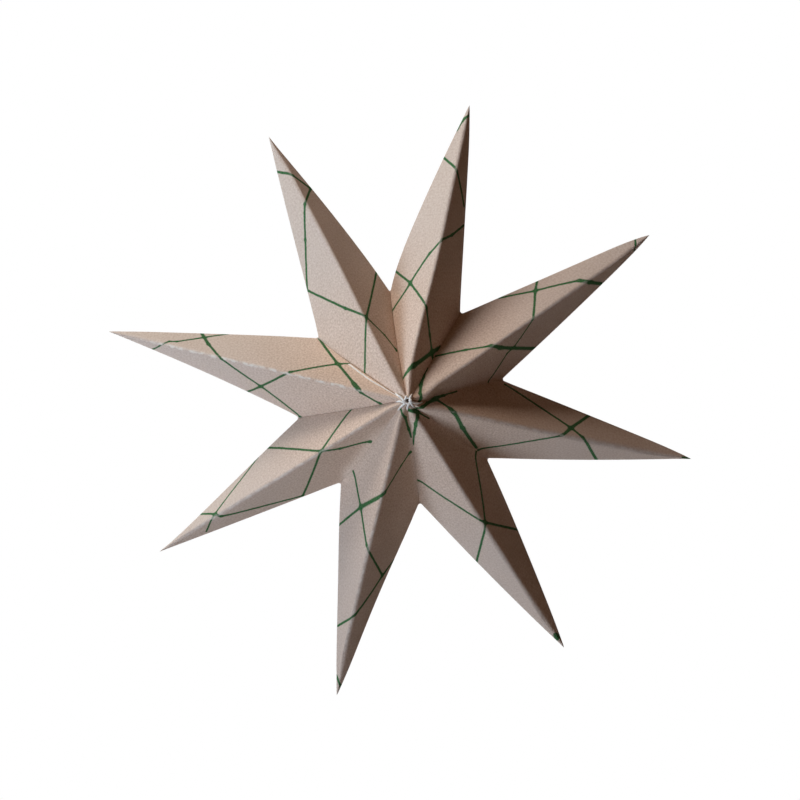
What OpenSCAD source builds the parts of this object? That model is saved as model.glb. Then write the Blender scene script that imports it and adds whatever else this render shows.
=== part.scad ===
// Star of eight folded paper points, tied with thread at its front and back centres.
// Each point is one folded sheet: four flat facets with folds along the front ridge, the back
// ridge and the two side edges, and glue flaps turned in along the valleys, where neighbours meet.
// The star hangs upright by its top tip: its plane is upright and its front faces -Y.

/* [Star] */
// Reach of an even point, from the star's centre to its tip
tip_radius = 150; // [100:1:300]
// Distance from the centre to the notch between two points
notch_radius = 52; // [35:0.5:75]
// Half the star's thickness, where its ridges would meet on the axis
half_depth = 37.5; // [25:0.5:60]
// Radius of the small opening that the points' noses leave round the axis
nose_radius = 2.5; // [2.3:0.1:5]

/* [Paper] */
// Thickness of the paper
paper = 0.4; // [0.2:0.05:0.7]
// Width of the glue flaps turned in along the valleys
flap_width = 9; // [4:0.5:14]
// Thickness of the glue between two flaps
glue = 0.1; // [0.05:0.05:0.3]

/* [Thread] */
// Diameter of the thread
thread_d = 0.8; // [0.4:0.1:1.2]
// Middle radius of the tight ring of thread at the centre
ring_radius = 1.3; // [1:0.1:1.5]
// Length of each strand along its valley
strand_length = 6; // [2:0.5:12]
// Gap left between the thread and the paper
thread_gap = 0.3; // [0.1:0.05:0.4]

/* [Uneven making] */
// Clockwise lean of each tip in degrees, from the first point after the closing seam
tip_lean = [5, 0, -1.3, -1, -0.9, -0.4, 0, 0]; // [-6:0.1:6]
// How far each tip falls short of the even reach, in per cent of that reach
tip_short = [2, 0, 0, 0, -0.7, -1, 4, 0]; // [-3:0.1:7]
// Clockwise lean of the valley after each point in degrees, in the same order
valley_lean = [3.1, -0.9, -1, 0, 0.3, 1, -0.8, 0.3]; // [-4:0.1:4]
// How far the notch of each of those valleys falls short of the even one, in per cent of it
notch_short = [-2.5, 1.5, 2.5, 0, -1.5, 0, -1, 0.5]; // [-4:0.5:4]

/* [Hidden] */
point_count = 8;

faces = [1, -1];
sides = [1, -1];
thread_sides = 10;
ring_sides = 24;
paper_colour = [0.78, 0.71, 0.65];
thread_colour = [0.93, 0.92, 0.89];

// Angles run clockwise from straight up, seen from the front. The second point is the top one.
step = 360 / point_count;
top_point = 2;
after = function (k) k % point_count + 1;
in_list = function (k) (k + point_count - 1) % point_count;
even_angle = function (k) (k - top_point) * step;
tip_angle = function (k) even_angle(k) + tip_lean[in_list(k)];
// A valley has the number of the point before it
valley_angle = function (v) even_angle(v) + step / 2 + valley_lean[in_list(v)];
nose_angle = function (k) (valley_angle(k) + valley_angle(k - 1)) / 2;

// A direction in the star's plane, a place on it, and a place part of the way between two others
along = function (angle) [sin(angle), cos(angle), 0];
place = function (angle, radius, depth) radius * along(angle) + [0, 0, depth];
between = function (from, to, part) from + part * (to - from);
unit = function (v) v / norm(v);

// A point is set back from the axis so that half the glue fits at each of its valley planes
setback = function (k) glue / 2 / sin((valley_angle(k) - valley_angle(k - 1)) / 2);

// Ideal corners of a point, before it is set back and its nose is cut
reach = function (k) tip_radius * (1 - tip_short[in_list(k)] / 100);
notch_reach = function (v) notch_radius * (1 - notch_short[in_list(v)] / 100);
tip = function (k) place(tip_angle(k), reach(k) - setback(k), 0);
notch = function (v) place(valley_angle(v), notch_reach(v), 0);
apex = function (face) [0, 0, face * half_depth];
valley_slope = function (v) atan(half_depth / notch_reach(v));

// A plane is its outward normal and its distance from the origin, and deeper() moves it inwards
plane_at = function (normal, corner) [unit(normal), unit(normal) * corner];
deeper = function (plane, depth) [plane[0], plane[1] - depth];
meet = function (a, b, c)
  (a[1] * cross(b[0], c[0]) + b[1] * cross(c[0], a[0]) + c[1] * cross(a[0], b[0]))
  / (a[0] * cross(b[0], c[0]));

// The planes of a point. A face is 1 in front and -1 behind, a side is 1 clockwise and -1 not.
valley_of = function (k, side) side == 1 ? k : k - 1;
facet_plane = function (k, face, side)
  let (toward_notch = notch(valley_of(k, side)) - tip(k))
  plane_at(face * side * cross(apex(face) - tip(k), toward_notch), tip(k));
flap_plane = function (k, side)
  plane_at(side * along(valley_angle(valley_of(k, side)) + 90), [0, 0, 0]);
nose_plane = function (k) plane_at(-along(nose_angle(k)), nose_radius * along(nose_angle(k)));
flap_edge_plane = function (k, face, side)
  let (v = valley_of(k, side), slope = valley_slope(v))
  deeper(plane_at(place(valley_angle(v), sin(slope), face * cos(slope)), notch(v)), flap_width);

// Thread: how high it rides above a valley, on the facets at both sides of it
thread_r = thread_d / 2;
groove_sine = function (k, side)
  norm(cross(facet_plane(k, 1, side)[0], flap_plane(k, side)[0]));
ride = function (k)
  (thread_r + thread_gap) / min(groove_sine(k, 1), groove_sine(after(k), -1));
valley_start = function (v) between(apex(1), notch(v), nose_radius / notch_reach(v));
pinwheel_angle = 30;

// Drawn flat, seen from the front, and then stood up
module stand_up() {
  rotate([90, 0, 0])
    children();
}

// The corners of one side of the sheet: its outside at depth 0, its inside at the paper's thickness
sheet_corners = function (k, depth)
  let (
    facet = function (face, side) deeper(facet_plane(k, face, side), depth),
    flap = function (side) deeper(flap_plane(k, side), depth),
    edge = function (face, side) flap_edge_plane(k, face, side),
    nose = nose_plane(k)
  )
  [
    meet(facet(1, 1), facet(1, -1), facet(-1, 1)),
    for (face = faces) meet(facet(face, 1), facet(face, -1), nose),
    for (face = faces, side = sides) meet(facet(face, side), flap(side), nose),
    for (side = sides) meet(facet(1, side), facet(-1, side), flap(side)),
    for (face = faces, side = sides) meet(flap(side), edge(face, side), nose),
    for (side = sides) meet(flap(side), edge(1, side), edge(-1, side))
  ];

// Places of those corners in the list, for the two faces f and the two sides s
tip_at = 0;
ridge_at = function (f) 1 + f;
valley_at = function (f, s) 3 + 2 * f + s;
notch_at = function (s) 7 + s;
flap_nose_at = function (f, s) 9 + 2 * f + s;
flap_notch_at = function (s) 13 + s;
corner_count = 15;

backwards = function (list) [for (i = [len(list) - 1:-1:0]) list[i]];
inside = function (list) [for (i = list) i + corner_count];
// Outside, inside and cut edges of one facet and its flap; every other quarter is mirrored
quarter = function (f, s)
  let (
    facet = [tip_at, notch_at(s), valley_at(f, s), ridge_at(f)],
    flap = [notch_at(s), flap_notch_at(s), flap_nose_at(f, s), valley_at(f, s)],
    rim = [flap_notch_at(s), flap_nose_at(f, s), valley_at(f, s), ridge_at(f)],
    skins = [facet, flap, backwards(inside(facet)), backwards(inside(flap))],
    cuts = [for (i = [0:2]) concat([rim[i + 1], rim[i]], inside([rim[i], rim[i + 1]]))]
  )
  [for (patch = concat(skins, cuts)) (f + s) % 2 == 0 ? patch : backwards(patch)];

module folded_point(k) {
  color(paper_colour)
    stand_up()
      translate(setback(k) * along(nose_angle(k)))
        polyhedron(
          points = concat(sheet_corners(k, 0), sheet_corners(k, paper)),
          faces = [for (f = [0, 1], s = [0, 1]) each quarter(f, s)]
        );
}

module strand_piece(from, to) {
  hull()
    for (end = [from, to])
      translate(end)
        sphere(d = thread_d, $fn = thread_sides);
}

// One strand: out of the ring, over the rim between two noses and down their valley
module strand(k) {
  angle = valley_angle(k);
  slope = valley_slope(k);
  rim = valley_start(k) + ride(k) * place(angle, sin(slope), cos(slope));
  root = place(angle - pinwheel_angle, ring_radius, rim.z);
  end = rim + strand_length * place(angle, cos(slope), -sin(slope));
  strand_piece(root, rim);
  strand_piece(rim, end);
}

module thread_tie() {
  color(thread_colour) {
    translate([0, 0, valley_start(top_point).z + ride(top_point) * cos(valley_slope(top_point))])
      rotate_extrude($fn = ring_sides)
        translate([ring_radius, 0])
          circle(d = thread_d, $fn = thread_sides);
    for (k = [1:point_count])
      strand(k);
  }
}

module front_thread() {
  stand_up()
    thread_tie();
}

module back_thread() {
  stand_up()
    mirror([0, 0, 1])
      thread_tie();
}

for (k = [1:point_count])
  folded_point(k);
front_thread();
back_thread();
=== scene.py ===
"""A star of eight folded paper points, drawn together by a thread at its middle.

Lengths are metres and the frame is the part's own: the star stands upright, its front faces -Y
and one tip points straight up. Places on a flat sheet are millimetres: along its ridge from the
tip, then across the ridge, with clockwise as plus.
"""

from __future__ import annotations

import logging
import math
from dataclasses import dataclass, field
from enum import Enum

import bmesh
import bpy
import numpy as np
from mathutils import Matrix, Vector

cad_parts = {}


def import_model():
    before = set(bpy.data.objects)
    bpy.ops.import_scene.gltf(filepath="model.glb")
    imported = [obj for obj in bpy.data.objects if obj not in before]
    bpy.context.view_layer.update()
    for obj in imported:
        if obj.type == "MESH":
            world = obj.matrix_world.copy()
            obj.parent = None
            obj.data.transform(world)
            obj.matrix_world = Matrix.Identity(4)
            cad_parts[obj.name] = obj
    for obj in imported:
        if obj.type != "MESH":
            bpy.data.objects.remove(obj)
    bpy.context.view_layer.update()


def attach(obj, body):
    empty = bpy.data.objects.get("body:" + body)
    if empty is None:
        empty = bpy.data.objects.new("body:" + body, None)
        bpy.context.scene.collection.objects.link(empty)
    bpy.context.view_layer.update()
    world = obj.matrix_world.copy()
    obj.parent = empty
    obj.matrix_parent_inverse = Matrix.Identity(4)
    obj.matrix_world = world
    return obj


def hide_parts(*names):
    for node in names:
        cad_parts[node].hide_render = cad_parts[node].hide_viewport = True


LOG = logging.getLogger("paper_star")
MM = 0.001
PICTURE_SIDE = 800
TO_VIEWER = np.array([0.0, -1.0, 0.0])

Place = tuple[float, float]


class Face(Enum):
    """The two faces of the star."""

    FRONT = 1
    BACK = -1


class Side(Enum):
    """The two sides of a point's ridge, going clockwise."""

    BEFORE = -1
    AFTER = 1


@dataclass(frozen=True)
class Line:
    """One drawn line of the print: its width and the places that it passes, in sheet millimetres."""

    width: float
    places: tuple[Place, ...]

    def mirrored(self) -> Line:
        """The same line on the other side of the ridge."""
        return Line(self.width, tuple((along, -across) for along, across in self.places))


# Widths of the drawn lines, in millimetres.
THIN = 0.9
FINE = 1.25
FULL = 1.6
BOLD = 2.1

# The lattice of drawn lines on each point's front, from the first point after the closing seam.
LATTICE: tuple[tuple[Line, ...], ...] = (
    (
        Line(FINE, ((16, -7), (23.5, 1), (32, 9.5))),
        Line(FINE, ((32, 9), (39.5, -1), (54, -11), (74, -25.5))),
        Line(FINE, ((75, -25.5), (95, -8.5), (105, 1.5))),
        Line(FINE, ((82, 26.5), (105, 1.5), (129, -17.5))),
        Line(THIN, ((105, 1.5), (116, 8.5), (125, 12.5))),
        Line(FULL, ((124.5, 12.5), (125, 12.5))),
    ),
    (
        Line(FINE, ((4.5, 1), (7, -2), (12.5, -4))),
        Line(FINE, ((26.5, -9), (34, 1), (48, 13))),
        Line(FINE, ((57, 16.5), (65.5, 8), (71, 0.5), (78, -6), (93, -15), (108, -26))),
        Line(FINE, ((86, -27), (93, -15), (106.5, 1.5), (118, 8.5), (129, 15))),
        Line(BOLD, ((121, 19), (125.5, 13), (136.5, 1.5), (139, -1.5))),
        Line(FULL, ((139, -1.5), (141, -4))),
        Line(FINE, ((141, -4), (145, -8))),
    ),
    (
        Line(THIN, ((7, -2.5), (9, -0.5), (11, 2.5))),
        Line(FINE, ((79, -24.5), (64, -14), (44.5, -3))),
        Line(BOLD, ((44.5, -3), (40.5, 2), (33.5, 9.5))),
        Line(FINE, ((59, -18.5), (64, -14), (77.5, 0.5))),
        Line(THIN, ((77.5, 0.5), (90.5, 11.5), (95, 13), (109, 27))),
        Line(FINE, ((127, -16), (113.5, -8), (103, -1))),
        Line(BOLD, ((103, -1), (98.5, 5), (78, 24.5))),
        Line(FULL, ((134.5, -12), (139.5, -8.5), (143.5, -5.5))),
        Line(FINE, ((143.5, -5.5), (147, -1.5), (148, 2.5))),
        Line(FULL, ((147.5, 1.5), (148, 2.5))),
    ),
    (
        Line(FINE, ((0, 0), (4.5, 0))),
        Line(FINE, ((98.5, -28.5), (66, -6), (60, -1.5))),
        Line(FULL, ((60, -1.5), (46, 14.5))),
        Line(FULL, ((54, -17), (66, -6), (71.5, 0))),
        Line(FINE, ((71.5, 0), (107.5, 26.5))),
        Line(FULL, ((149, 4), (146, -1), (143.5, -4.5), (139.5, -7))),
        Line(BOLD, ((140.5, -6.5), (139.5, -7))),
        Line(FULL, ((139.5, -7), (134.5, -10))),
        Line(THIN, ((134.5, -10), (127, -15))),
        Line(FINE, ((139.5, -7), (131.5, -2))),
        Line(BOLD, ((131.5, -2), (129.5, 0), (121, 11), (109, 24.5))),
    ),
    (
        Line(BOLD, ((6, 1), (8, 0), (6.5, -1))),
        Line(FINE, ((113.5, 25), (80, -2), (62, -19))),
        Line(FINE, ((110, -27), (80, -2), (59.5, 19.5))),
        Line(FULL, ((147.5, -3.5), (145.5, -1.5), (142.5, 3), (138, 8))),
        Line(FINE, ((138, 8), (133, 13))),
        Line(BOLD, ((151, 3), (148.5, -3), (148, -4))),
        Line(THIN, ((147.5, -3.5), (140.5, -7.5))),
    ),
    (
        Line(FINE, ((8, 2.5), (3.5, -1.5))),
        Line(FINE, ((80, 26), (95, 13))),
        Line(BOLD, ((95, 13), (107.5, -1.5))),
        Line(THIN, ((107.5, -1.5), (121.5, -8.5), (128.5, -13))),
        Line(FULL, ((128, -12.5), (128.5, -13))),
        Line(FINE, ((110.5, 25.5), (95, 13), (79, 2), (61.5, -15))),
        Line(FINE, ((69, -21.5), (61.5, -15), (42, -1.5), (32, 9.5))),
        Line(FINE, ((151, 3), (147, -3), (141, -7), (137, -10))),
    ),
    (
        Line(FINE, ((120, 16), (98.5, 0.5), (73.5, -23))),
        Line(FINE, ((71, 24), (98.5, 0.5), (106.5, -5.5), (120.5, -13))),
        Line(FULL, ((120, -12.5), (120.5, -13))),
        Line(THIN, ((66, 22.5), (35, 2), (25, -6))),
        Line(FINE, ((26, 9), (35, 1.5), (37, -2), (73.5, -23))),
    ),
    (
        Line(THIN, ((22, -6.5), (30.5, 3), (34, 4), (56, 18))),
        Line(FULL, ((43, 14.5), (49.5, 7.5))),
        Line(FINE, ((49.5, 7.5), (59, -0.5), (79, -14.5), (100, -32))),
        Line(FINE, ((71, -23), (79, -14.5), (94.5, 1.5), (114.5, 16), (119.5, 19))),
        Line(FULL, ((100, 31.5), (114.5, 16), (129.5, 0.5))),
        Line(BOLD, ((126.5, 3.5), (129, 1))),
        Line(FINE, ((129.5, 0.5), (131, -1.5), (141, -7))),
        Line(FULL, ((140.5, -6.5), (141, -7))),
    ),
)


def linear(hex_colour: str, tone: float = 1.0) -> tuple[float, float, float, float]:
    """Turns an sRGB hex colour to linear light.

    Args:
        hex_colour: Six hex digits after a hash sign.
        tone: How much lighter the colour is made.

    Returns:
        Red, green, blue and an alpha of one.
    """
    shares = [int(hex_colour[i : i + 2], 16) / 255 for i in (1, 3, 5)]
    light = [s / 12.92 if s <= 0.04045 else ((s + 0.055) / 1.055) ** 2.4 for s in shares]
    return tone * light[0], tone * light[1], tone * light[2], 1.0


def add_node(
    tree: bpy.types.NodeTree, kind: str, inputs: dict[str | int, object] | None = None, **settings: object
) -> bpy.types.Node:
    """Adds a node, sets its properties, and sets or links its inputs.

    Args:
        tree: The node tree that takes the node.
        kind: Blender's name for the node.
        inputs: Values or output sockets, by input name or number.
        **settings: The node's own properties.

    Returns:
        The new node.
    """
    node = tree.nodes.new(kind)
    for name, value in settings.items():
        setattr(node, name, value)
    for key, value in (inputs or {}).items():
        if isinstance(value, bpy.types.NodeSocket):
            tree.links.new(value, node.inputs[key])
        else:
            node.inputs[key].default_value = value
    return node


def new_material(name: str) -> tuple[bpy.types.Material, bpy.types.NodeTree]:
    """Makes an empty node material.

    Args:
        name: The material's name.

    Returns:
        The material and its node tree.
    """
    material = bpy.data.materials.new(name)
    material.use_nodes = True
    material.node_tree.nodes.clear()
    return material, material.node_tree


def unit(vector: np.ndarray) -> np.ndarray:
    """The vector at length one."""
    return vector / np.linalg.norm(vector)


def outward(angle: float) -> np.ndarray:
    """The direction from the middle at a clockwise angle, in degrees, from straight up."""
    return np.array([math.sin(math.radians(angle)), 0.0, math.cos(math.radians(angle))])


def smooth(share: np.ndarray) -> np.ndarray:
    """A soft step from nought to one as the share goes from nought to one."""
    held = np.clip(share, 0.0, 1.0)
    return held * held * (3 - 2 * held)


def drawn_in(gap: np.ndarray, reach: np.ndarray) -> np.ndarray:
    """A parabola of the gap to a fold: as high as its reach at the fold, and nought from the reach on."""
    return np.clip(1 - gap / np.maximum(reach, SMALLEST_GAP), 0, 1) ** 2 * reach


def grid_faces(rows: int, columns: int) -> np.ndarray:
    """The four corners of each cell of a grid of points.

    Args:
        rows: Points down the grid.
        columns: Points across it.

    Returns:
        One row of four point numbers for each cell.
    """
    numbers = np.arange(rows * columns).reshape(rows, columns)
    corners = numbers[:-1, :-1], numbers[1:, :-1], numbers[1:, 1:], numbers[:-1, 1:]
    return np.stack(corners, axis=-1).reshape(-1, 4)


@dataclass
class Patch:
    """A grid of points with a place on the sheet, and the wear and painted highlight there, for each."""

    points: np.ndarray
    sheet: np.ndarray
    wear_and_highlight: np.ndarray
    flipped: bool = False

    def faces(self) -> np.ndarray:
        """The cells of the grid, turned to face outwards."""
        cells = grid_faces(*self.points.shape[:2])
        return cells[:, ::-1] if self.flipped else cells


@dataclass(frozen=True)
class StarForm:
    """The sizes that the eight points share, and how each point and valley leans and falls short.

    They are those of the solids, but for noses drawn closer together and a finer line of glue. Lengths
    are metres, leans are degrees clockwise and shortfalls are per cent of the even reach. Lists start at
    the first point after the closing seam, and at the valley after that point.
    """

    tip_radius: float = 0.150
    notch_radius: float = 0.052
    half_depth: float = 0.0375
    nose_radius: float = 0.0011
    paper: float = 0.0004
    flap_width: float = 0.009
    glue: float = 0.00004
    top_point: int = 2
    tip_lean: tuple[float, ...] = (5, 0, -1.3, -1, -0.9, -0.4, 0, 0)
    tip_short: tuple[float, ...] = (2, 0, 0, 0, -0.7, -1, 4, 0)
    valley_lean: tuple[float, ...] = (3.1, -0.9, -1, 0, 0.3, 1, -0.8, 0.3)
    notch_short: tuple[float, ...] = (-2.5, 1.5, 2.5, 0, -1.5, 0, -1, 0.5)

    @property
    def count(self) -> int:
        """How many points the star has."""
        return len(self.tip_lean)

    def even_angle(self, number: int) -> float:
        """Where a point would be if all were even, in degrees clockwise from straight up."""
        return (number - self.top_point) * 360 / self.count

    def tip_angle(self, number: int) -> float:
        """Where a point's tip is, in degrees clockwise from straight up."""
        return self.even_angle(number) + self.tip_lean[number - 1]

    def tip_reach(self, number: int) -> float:
        """How far a point's tip is from the axis."""
        return self.tip_radius * (1 - self.tip_short[number - 1] / 100)

    def valley(self, number: int, side: Side) -> int:
        """The valley before or after a point, which has the number of the point before it."""
        return number if side is Side.AFTER else (number - 2) % self.count + 1

    def valley_angle(self, number: int, side: Side) -> float:
        """Where the valley before or after a point is, in degrees clockwise from straight up."""
        lean = self.valley_lean[self.valley(number, side) - 1]
        return self.even_angle(number) + side.value * 180 / self.count + lean

    def notch_reach(self, number: int, side: Side) -> float:
        """How far the notch before or after a point is from the axis."""
        return self.notch_radius * (1 - self.notch_short[self.valley(number, side) - 1] / 100)


@dataclass(frozen=True)
class Folds:
    """How the sheet turns at its folds, strays from flat, and wears pale along its ridges, with a painted
    highlight there too.

    Lengths are metres. Side and notch are the radii of the side folds and of the rounded notches. A fold
    takes at most a share of its facet's width, and a rounded notch spreads into the facet by so many
    times its reach along the edge. Over the notch blend a side fold goes over to a valley fold. A soft
    valley begins at the fill start from the axis, along the ridge, and is full after the fill blend.

    Bow and ripple are how high a facet bows and ripples, and the ripples' lengths and turns are drawn
    between limits. Within the nose reach of the axis the sheet is drawn in, by the nose dip at most.
    Wear and a painted highlight spread the wear and highlight width to each side of a ridge. They are
    full where the facet is as wide as wear and highlight from, and they fade out over the wear and
    highlight fade before wear and highlight to, along the ridge from the tip. Within the wall reach of a
    tip the paper thins in bands, because the facets leave no room inside.
    """

    side: float = 0.0006
    notch: float = 0.0013
    ridge_share: float = 0.4
    edge_share: float = 0.2
    fill_share: float = 0.7
    notch_spread: float = 1.5
    notch_blend: float = 0.008
    fill_start: float = 0.008
    fill_blend: float = 0.015
    bow: float = 0.0005
    ripple: float = 0.00025
    ripple_count: int = 3
    ripple_along: Place = (0.006, 0.014)
    ripple_across: Place = (0.006, 0.02)
    ripple_turn: Place = (0, 6.3)
    nose_dip: float = 0.0005
    nose_reach: float = 0.010
    # Where the ridges are worn pale and painted with a highlight.
    worn_width: float = 0.002
    worn_from: float = 0.012
    worn_to: float = 0.140
    worn_fade: float = 0.015
    wall_reach: float = 0.008
    wall_bands: int = 12
    thinnest_wall: float = 0.02


# Where the sheet has points across a facet: at shares of a soft fold's reach, counted from the fold, and
# evenly between the folds. Across a flap they are at shares of its width.
FOLD_STEPS = np.array([0.0, 0.15, 0.3, 0.45, 0.6, 0.75, 0.9, 1.05, 1.4])
FACET_STEPS = 12
FLAP_STEPS = np.array([0, 1 / 30, 1 / 9, 1 / 3, 1])

# Where it has rows along a ridge, in millimetres: from the tip, to both sides of a notch, and where the
# arm's even rows start. The last two are the gaps beside a notch's rows and before the nose.
TIP_ROWS = np.array([0, 0.4, 0.9, 1.6, 2.5, 3.6, 5.0, 6.6])
NOTCH_ROWS = np.array([-4.2, -3, -2, -1.4, -0.9, -0.4, 0, 0.4, 0.9, 1.4, 2, 3, 4.2])
ARM_START = 8.5
NOTCH_GAP = 2
NOSE_GAP = 0.4

# How many rows the arm and the hub have, and how many facets a point.
ARM_ROWS = 28
HUB_ROWS = 22
FACETS = 4

# How far aside the back's drawing lies on the sheet's map, in metres, and how many points further on it
# is taken from.
BACK_SHIFT = 0.2
BACK_STEP = 3

SMALLEST_GAP = 1e-6


@dataclass(frozen=True)
class HandWork:
    """How each point strays from the even star, from the first point after the closing seam.

    Bows, tip swells and notch swells are millimetres outwards at the side edges before and after a
    ridge: at mid-edge, near the tip and near the notch. Tip draws are how many millimetres further each
    tip is drawn out. Drifts are millimetres clockwise: of each ridge at mid-arm and at the hub, and of
    the valley after each point. Ridge and valley folds are the radii, in millimetres, at which the paper
    turns over its ridges and into those valleys. Valley fills are how many millimetres beside a valley
    the paper starts to curve softly, and twists are how far the thread pulls each valley round
    clockwise, in degrees. Wear and highlight is how pale each ridge is, from nought to one: worn, and on
    most ridges partly a painted highlight. Tones are how light each sheet is against the mean.

    Swells are highest at shares of the edge from the tip and from the notch, and the powers say how full
    a bow or a valley's drift is. A ridge's drift sets in and ends over shares of the ridge, and goes over
    from its mid-arm to its hub size over another. Tips are drawn out within the draw reach, and twists
    fade between two radii, all in metres.
    """

    bows: tuple[Place, ...] = (
        (0.3, 1.3), (1.9, 0.5), (0.4, 0.9), (0.6, 0.9), (0.9, 1.0), (-0.8, 0.4), (0.2, -0.3), (-1.2, 0.5)
    )
    ridge_drifts: tuple[Place, ...] = (
        (1.2, -0.2), (0.0, -1.8), (1.7, 1.7), (1.5, 1.2), (1.2, 0.8), (1.6, 1.3), (0.4, 0.7), (-0.2, -0.3)
    )
    tip_swells: tuple[Place, ...] = (
        (0.2, -0.2), (0.1, 0.7), (1.0, 0.6), (0.6, -0.1), (0.3, 0.1), (1.0, 0.7), (0.1, -0.6), (0.2, 0.4)
    )
    notch_swells: tuple[Place, ...] = (
        (-0.2, 0.4), (1.4, -0.2), (0.0, 0.0), (0.0, 0.0), (0.3, 0.0), (0.6, 0.5), (0.1, 0.4), (0.0, 0.3)
    )
    tip_draws: tuple[float, ...] = (0, 1.0, 0, 0.4, 0, 1.8, 0, 0.6)
    valley_drifts: tuple[float, ...] = (-0.8, 0, 0, 0, 0, 0, 0, -1.1)
    ridge_folds: tuple[float, ...] = (1.5, 1.5, 1.5, 2.5, 2.0, 1.7, 1.7, 1.5)
    valley_folds: tuple[float, ...] = (0.5, 0.3, 0.3, 0.3, 0.5, 0.1, 0.4, 0.5)
    valley_fills: tuple[float, ...] = (0, 0, 3, 8, 5, 8, 0, 0)
    twists: tuple[float, ...] = (0, 6, 20, 6, 4, 6, 3, -1)
    # Partly real wear, most of all on the last point, and partly a painted highlight along the ridge.
    wear_and_highlight: tuple[float, ...] = (0.2, 0.3, 0.3, 0.35, 0.25, 0.4, 0.4, 0.85)
    tones: tuple[float, ...] = (1.0, 0.97, 0.95, 0.97, 0.98, 0.93, 1.0, 1.08)
    swell_share: float = 0.15
    notch_share: float = 0.2
    bow_power: float = 0.8
    drift_power: float = 0.6
    drift_start: float = 0.16
    drift_end: float = 0.09
    hub_from: float = 0.45
    hub_over: float = 0.4
    draw_reach: float = 0.012
    twist_start: float = 0.004
    twist_end: float = 0.017

    def bow(self, number: int, side: Side, share: np.ndarray) -> np.ndarray:
        """How far a side edge strays outwards, at shares of the way from the tip to the notch.

        The bow is a power of half a sine. A swell is a distance times an exponential that falls with
        it, so it is highest where the distance is one.

        Args:
            number: The point's number.
            side: The side of its ridge.
            share: Shares of the way.

        Returns:
            Distances outwards.
        """
        which = (side.value + 1) // 2
        held = np.clip(share, 0, 1)
        bow = self.bows[number - 1][which] * np.sin(math.pi * held) ** self.bow_power
        tip, notch = held / self.swell_share, (1 - held) / self.notch_share
        bow = bow + self.tip_swells[number - 1][which] * tip * np.exp(1 - tip)
        return (bow + self.notch_swells[number - 1][which] * notch * np.exp(1 - notch)) * MM

    def tip_draw(self, number: int, along: np.ndarray) -> np.ndarray:
        """How far the tip is drawn out, as a parabola of the distance along the ridge from it."""
        return self.tip_draws[number - 1] * MM * np.clip(1 - along / self.draw_reach, 0, 1) ** 2

    def ridge_drift(self, number: int, share: np.ndarray) -> np.ndarray:
        """How far a ridge strays clockwise, at shares of the way from the tip to the axis.

        It grows softly from the tip, goes over from its mid-arm to its hub size, and ends at the nose.

        Args:
            number: The point's number.
            share: Shares of the way.

        Returns:
            Distances clockwise.
        """
        arm, hub = self.ridge_drifts[number - 1]
        size = arm + (hub - arm) * smooth((share - self.hub_from) / self.hub_over)
        return size * MM * smooth(share / self.drift_start) * smooth((1 - share) / self.drift_end)

    def valley_drift(self, valley: int, share: np.ndarray) -> np.ndarray:
        """How far a valley strays clockwise, at shares of the way from its notch to the axis."""
        bulge = np.sin(math.pi * np.clip(share, 0, 1)) ** self.drift_power
        return self.valley_drifts[valley - 1] * MM * bulge

    def twist(self, valley: int, radius: np.ndarray) -> np.ndarray:
        """How far a valley is pulled round clockwise, in radians, at radii from the axis."""
        fade = 1 - smooth((radius - self.twist_start) / (self.twist_end - self.twist_start))
        return math.radians(self.twists[valley - 1]) * fade


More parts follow.
